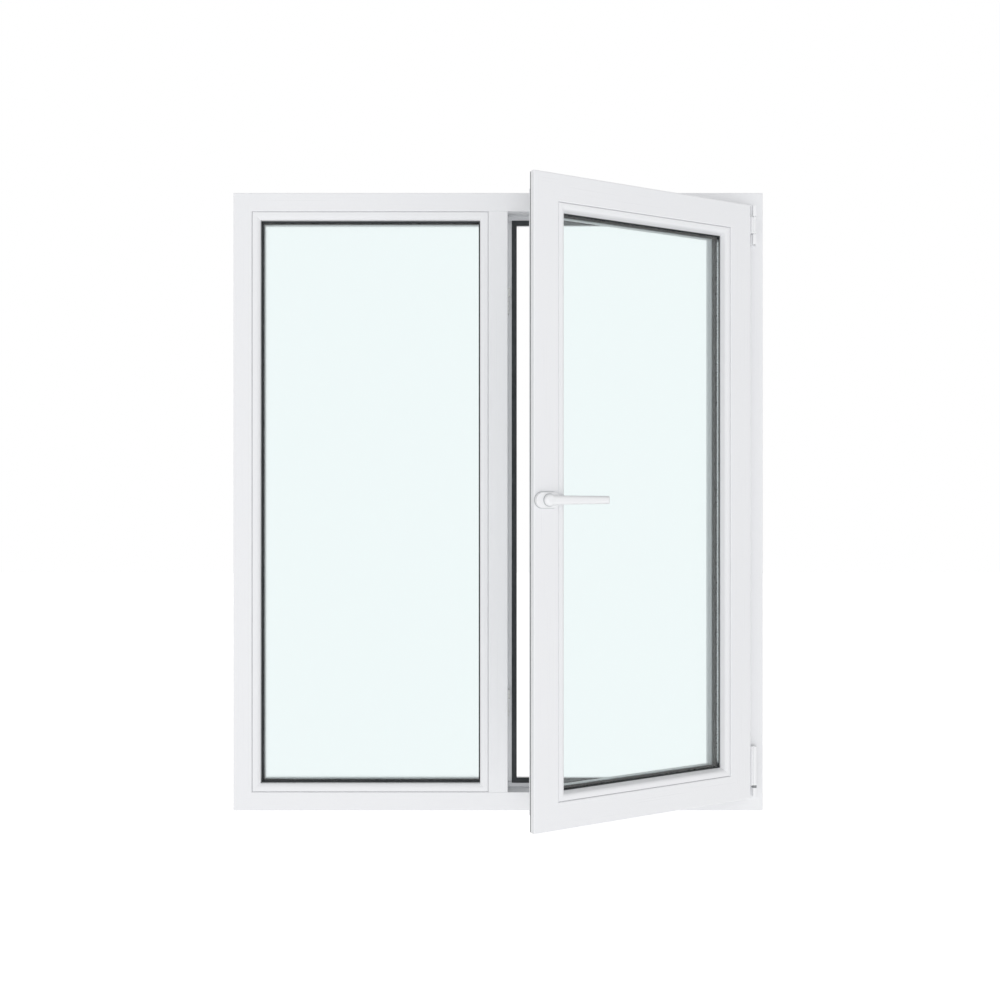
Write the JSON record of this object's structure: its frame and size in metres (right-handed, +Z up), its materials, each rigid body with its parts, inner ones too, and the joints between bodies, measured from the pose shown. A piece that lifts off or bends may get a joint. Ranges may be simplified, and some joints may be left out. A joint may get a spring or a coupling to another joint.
{
  "type": "tilt and turn window",
  "caption": "White plastic window with a fixed light and a tilt and turn sash that stands open into the room, double glazed, with lever handle, hinges and seals.",
  "frame": {"origin": "middle of the flat underside of the frame's sill, halfway through the depth of the profile", "axes": "+Z up, +X to the right as seen from the room, +Y to the outside; the sash opens towards -Y"},
  "size_m": [1.2, 0.351, 1.4],
  "materials": {
    "pvc_white": "white plastic profile, smooth satin gloss",
    "glass_clear": "clear float glass with a faint green tint",
    "gasket_rubber": "dark extruded sealing rubber",
    "spacer_grey": "dark grey warm edge spacer, matt",
    "hardware_steel": "zinc plated steel",
    "hardware_white": "white powder coating"
  },
  "bodies": {
    "root": {"frame_head": "pvc_white", "frame_sill": "pvc_white", "frame_jamb_left": "pvc_white", "frame_jamb_right": "pvc_white", "mullion": "pvc_white", "sash_top_rail": "pvc_white", "sash_bottom_rail": "pvc_white", "sash_handle_stile": "pvc_white", "sash_hinge_stile": "pvc_white", "drain_caps": "pvc_white", "fixed_bead_top": "pvc_white", "fixed_bead_bottom": "pvc_white", "fixed_bead_left": "pvc_white", "fixed_bead_right": "pvc_white", "fixed_glass_inner": "glass_clear", "fixed_glass_outer": "glass_clear", "fixed_spacer": "spacer_grey", "fixed_gasket_inner": "gasket_rubber", "fixed_gasket_outer": "gasket_rubber", "sash_bead_top": "pvc_white", "sash_bead_bottom": "pvc_white", "sash_bead_left": "pvc_white", "sash_bead_right": "pvc_white", "sash_glass_inner": "glass_clear", "sash_glass_outer": "glass_clear", "sash_spacer": "spacer_grey", "sash_gasket_inner": "gasket_rubber", "sash_gasket_outer": "gasket_rubber", "frame_seal": "gasket_rubber", "sash_seal": "gasket_rubber", "lock_rail_handle_side": "hardware_steel", "lock_rail_hinge_side": "hardware_steel", "lock_rail_top": "hardware_steel", "lock_rail_bottom": "hardware_steel", "locking_cams": "hardware_steel", "striker_plates": "hardware_steel", "stay_arm": "hardware_steel", "stay_bearing": "hardware_white", "stay_hinge": "hardware_white", "corner_bearing": "hardware_white", "corner_hinge": "hardware_white", "handle_base": "hardware_white", "handle_lever": "hardware_white"}
  },
  "joints": []
}
